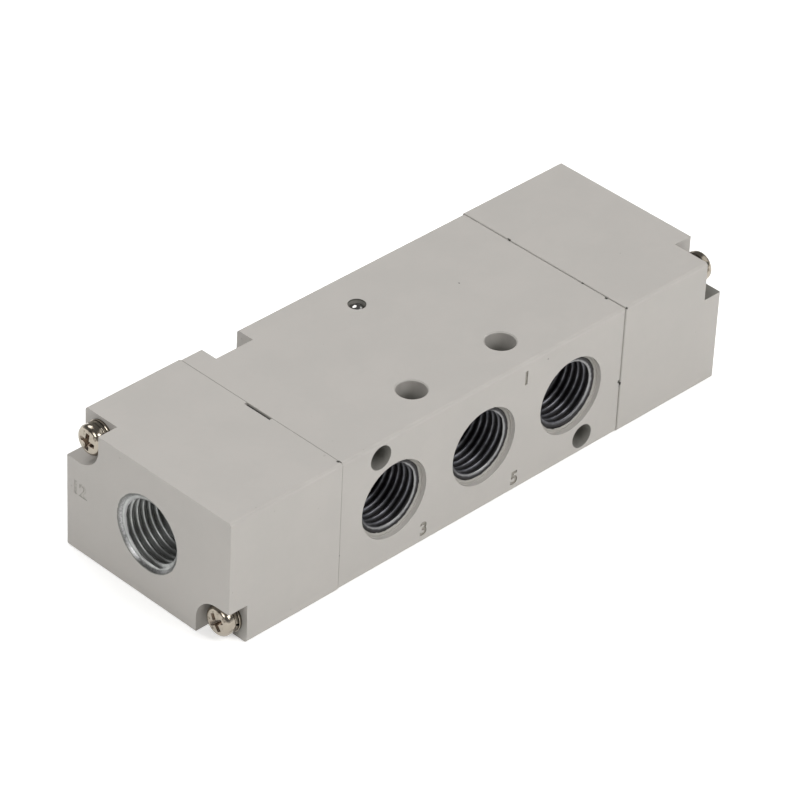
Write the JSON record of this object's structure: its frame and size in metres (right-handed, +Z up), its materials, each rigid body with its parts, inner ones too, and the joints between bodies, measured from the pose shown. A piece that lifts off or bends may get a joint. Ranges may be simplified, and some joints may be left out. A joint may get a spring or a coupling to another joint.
{
  "type": "air operated spool valve",
  "caption": "Air operated 5/2 spool valve: die-cast body between two end caps with pilot pistons, threaded air ports and cross and vertical mounting holes.",
  "frame": {"origin": "middle of the underside of the body", "axes": "+X along the spool from the cap with pilot port 12 to the cap with pilot port 14, -Y out of ports 1, 3 and 5, +Z up out of the top face"},
  "size_m": [0.114, 0.0384, 0.0255],
  "materials": {
    "cast_paint": "satin warm grey paint on die-cast metal, very fine texture",
    "nickel_plate": "warm nickel plating, slightly dulled",
    "bright_steel": "polished bearing ball",
    "machined_aluminium": "turned bare metal",
    "black_rubber": "moulded nitrile rubber",
    "piston_acetal": "turned acetal"
  },
  "bodies": {
    "housing": {"valve_body": "cast_paint", "end_cap_a": "cast_paint", "end_cap_b": "cast_paint", "cap_gasket_a": "black_rubber", "cap_gasket_b": "black_rubber", "ball_plug": "bright_steel", "cap_screw_a_upper": "nickel_plate", "cap_screw_a_lower": "nickel_plate", "cap_screw_b_upper": "nickel_plate", "cap_screw_b_lower": "nickel_plate", "spring_washer_a_upper": "nickel_plate", "spring_washer_a_lower": "nickel_plate", "spring_washer_b_upper": "nickel_plate", "spring_washer_b_lower": "nickel_plate", "flat_washer_a_upper": "nickel_plate", "flat_washer_a_lower": "nickel_plate", "flat_washer_b_upper": "nickel_plate", "flat_washer_b_lower": "nickel_plate"},
    "spool": {"spool": "machined_aluminium", "spool_seal_1": "black_rubber", "spool_seal_2": "black_rubber", "spool_seal_3": "black_rubber", "spool_seal_4": "black_rubber", "spool_seal_5": "black_rubber", "spool_seal_6": "black_rubber"},
    "piston_a": {"piston_a": "piston_acetal", "piston_seal_a": "black_rubber"},
    "piston_b": {"piston_b": "piston_acetal", "piston_seal_b": "black_rubber"}
  },
  "joints": [
    {"name": "spool_shift", "type": "slide", "parent": "housing", "child": "spool", "axis": [1, 0, 0], "range_m": [0, 0.004]},
    {"name": "piston_a_slide", "type": "slide", "parent": "housing", "child": "piston_a", "axis": [1, 0, 0], "range_m": [0, 0.004]},
    {"name": "piston_b_slide", "type": "slide", "parent": "housing", "child": "piston_b", "axis": [1, 0, 0], "range_m": [0, 0.004]}
  ],
  "couplings": [
    {"joint": "piston_a_slide", "follows": "spool_shift", "ratio": 1},
    {"joint": "piston_b_slide", "follows": "spool_shift", "ratio": 1}
  ]
}
